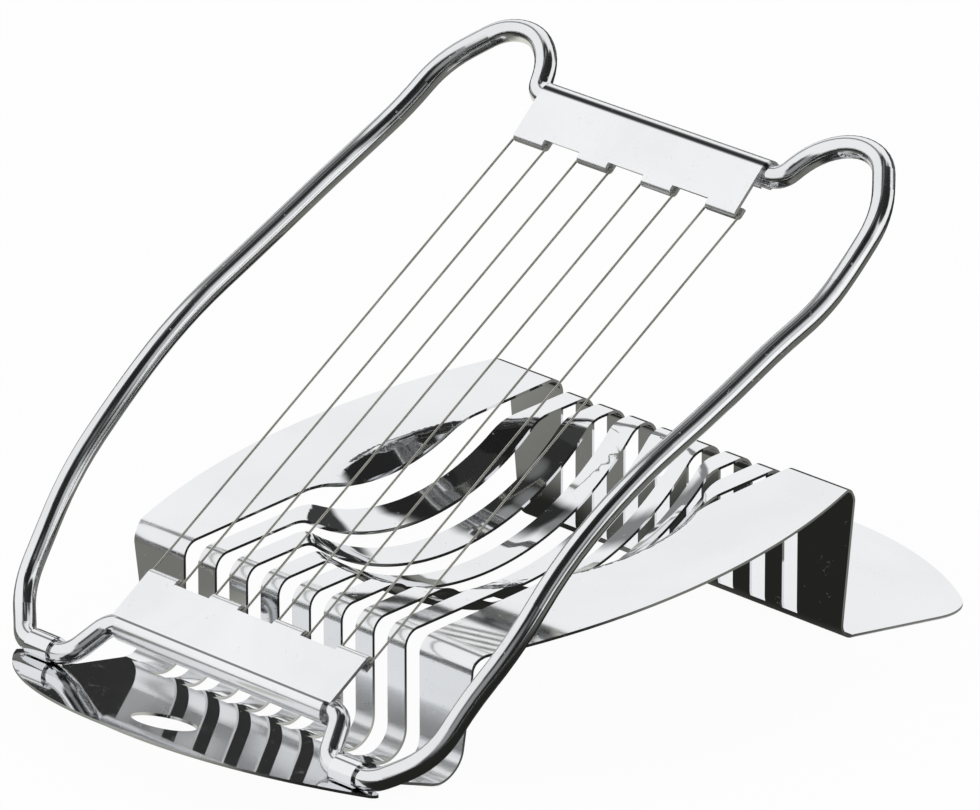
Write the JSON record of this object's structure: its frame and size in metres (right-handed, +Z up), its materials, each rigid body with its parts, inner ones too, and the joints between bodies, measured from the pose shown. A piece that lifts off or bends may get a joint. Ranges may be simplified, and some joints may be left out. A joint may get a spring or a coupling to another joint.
{
  "type": "egg slicer",
  "caption": "Hinged egg slicer: a bent steel base with a slotted egg dish and a hanging hole, and a wire frame that swings taut cutting wires down through the dish.",
  "frame": {"origin": "on the table, under the middle of the base's footprint", "axes": "+X across the slicer, along the hinge; +Y from the front foot to the rear foot; +Z up"},
  "size_m": [0.0886, 0.1329, 0.0698],
  "materials": {
    "base_sheet": "mirror-polished stainless steel sheet",
    "frame_rod": "polished stainless steel rod",
    "carrier_sheet": "mirror-polished stainless steel sheet",
    "strand_wire": "drawn stainless steel wire"
  },
  "bodies": {
    "base": {"base_plate": "base_sheet"},
    "frame": {"frame_wire": "frame_rod", "lower_carrier": "carrier_sheet", "upper_carrier": "carrier_sheet", "cutting_wire_1": "strand_wire", "cutting_wire_2": "strand_wire", "cutting_wire_3": "strand_wire", "cutting_wire_4": "strand_wire"}
  },
  "joints": [
    {"name": "frame_hinge", "type": "hinge", "parent": "base", "child": "frame", "pos_m": [0, -0.0508, 0.00582], "axis": [1, 0, 0], "range_deg": [-36.5, 115]}
  ]
}
